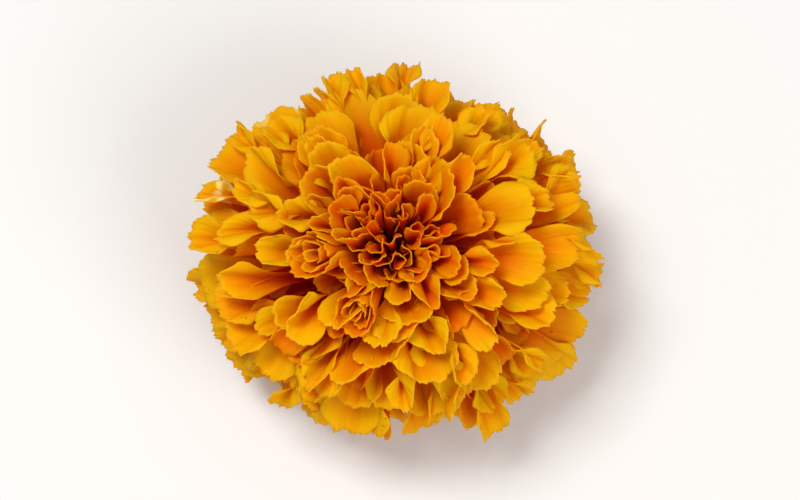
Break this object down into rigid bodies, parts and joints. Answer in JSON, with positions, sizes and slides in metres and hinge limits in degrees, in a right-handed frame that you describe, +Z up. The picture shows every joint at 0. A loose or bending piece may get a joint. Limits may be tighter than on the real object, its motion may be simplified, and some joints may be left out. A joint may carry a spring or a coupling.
{
  "type": "marigold flower",
  "caption": "Double pompon marigold head picked with a short stalk: a ball of layered, waved ray petals set in a ribbed, toothed green calyx cup.",
  "frame": {"origin": "on the resting surface, under the stalk's axis and the middle of the bloom's footprint box", "axes": "+Z up along the stalk into the open face of the bloom, +X along the bloom's longer width"},
  "size_m": [0.0831, 0.0736, 0.0531],
  "materials": {
    "petal": "soft satin petal, golden orange at the waved rim and deep red-orange in the folds",
    "calyx": "matt waxy green, ribbed, with small dark oil glands and paler teeth",
    "stem": "matt ridged green skin with a pale pith at the cut"
  },
  "bodies": {
    "root": {"petals": "petal", "calyx": "calyx", "stem": "stem"}
  },
  "joints": []
}
